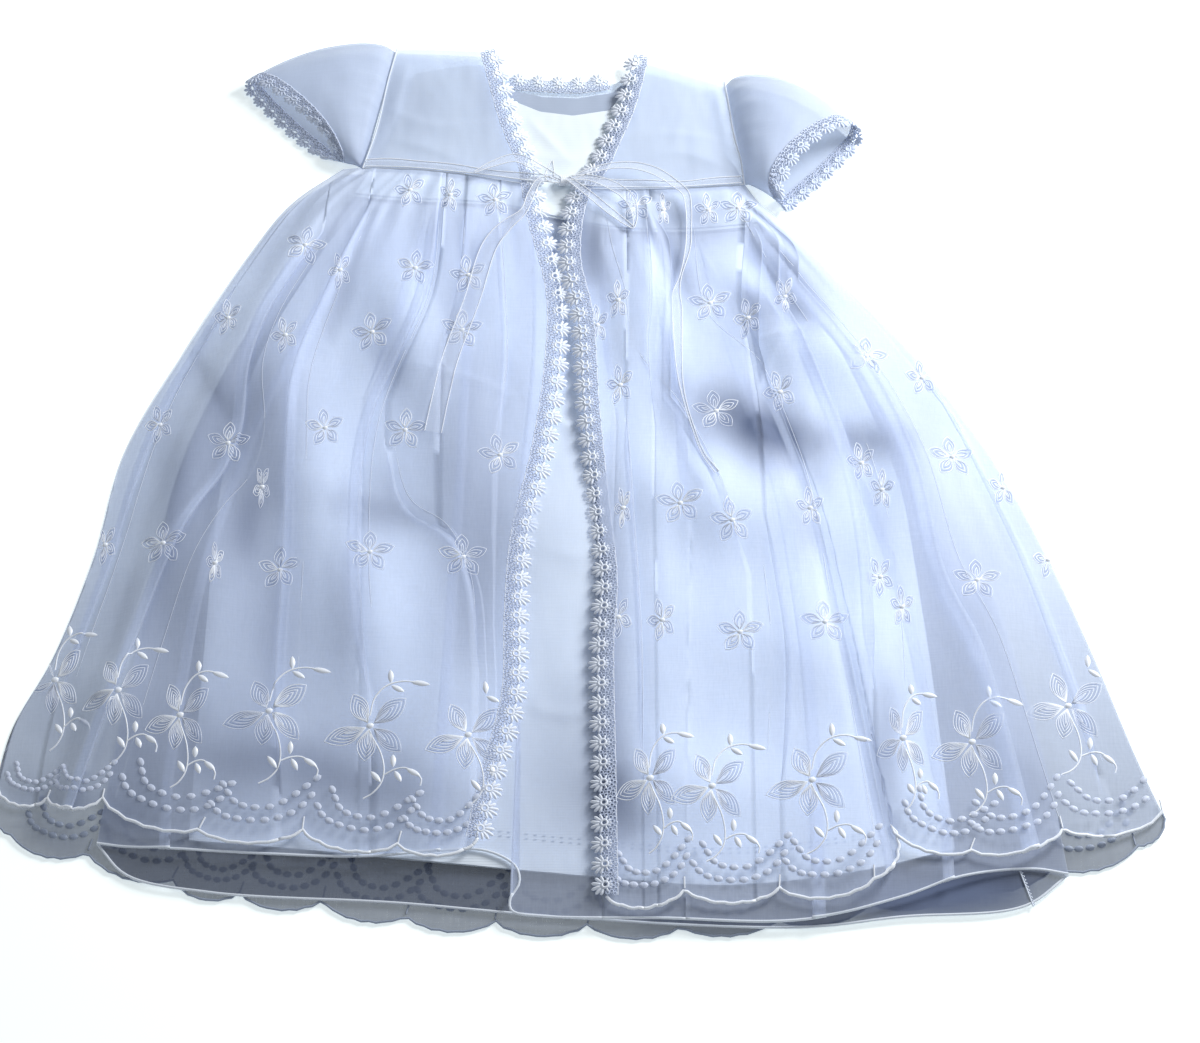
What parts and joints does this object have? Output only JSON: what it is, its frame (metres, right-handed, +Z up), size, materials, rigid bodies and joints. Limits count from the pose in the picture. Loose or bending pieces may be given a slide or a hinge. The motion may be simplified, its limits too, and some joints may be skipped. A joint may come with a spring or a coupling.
{
  "type": "christening gown, laid flat",
  "caption": "Baby's christening gown laid flat: sheer embroidered robe with puff sleeves, daisy lace and ribbon bow, open over a sleeveless satin and organza dress.",
  "frame": {"origin": "middle of the laid-out gown, on the surface it lies on", "axes": "+X to the right as seen from above with the hem near, +Y from hem to neck, +Z up from the surface"},
  "size_m": [0.6406, 0.5855, 0.023],
  "materials": {
    "organza": "sheer plain weave, soft sheen",
    "embroidered_organza": "sheer, with white satin-stitch flowers and a scalloped hem",
    "satin": "smooth satin weave with a bright sheen",
    "lining": "opaque fine plain weave",
    "lace": "corded daisy lace, matt thread",
    "ribbon": "sheer ribbon with satin edges"
  },
  "bodies": {
    "root": {"robe_bodice_back": "organza", "robe_skirt_back": "embroidered_organza", "lace_back_neck": "lace", "dress_bodice_back": "satin", "dress_skirt_back_sheer": "organza", "dress_skirt_back_lining": "lining", "dress_skirt_front_lining": "lining", "dress_bodice_front": "satin", "dress_skirt_front_sheer": "organza", "robe_bodice_front_left": "organza", "robe_bodice_front_right": "organza", "robe_skirt_front_left": "embroidered_organza", "robe_skirt_front_right": "embroidered_organza", "lace_front_left": "lace", "lace_front_right": "lace", "robe_sleeve_left": "organza", "lace_cuff_left": "lace", "robe_sleeve_right": "organza", "lace_cuff_right": "lace", "waist_ribbon_left": "ribbon", "waist_ribbon_right": "ribbon", "bow_knot": "ribbon", "bow_loop_left": "ribbon", "bow_loop_right": "ribbon", "bow_tail_left": "ribbon", "bow_tail_right": "ribbon"}
  },
  "joints": []
}
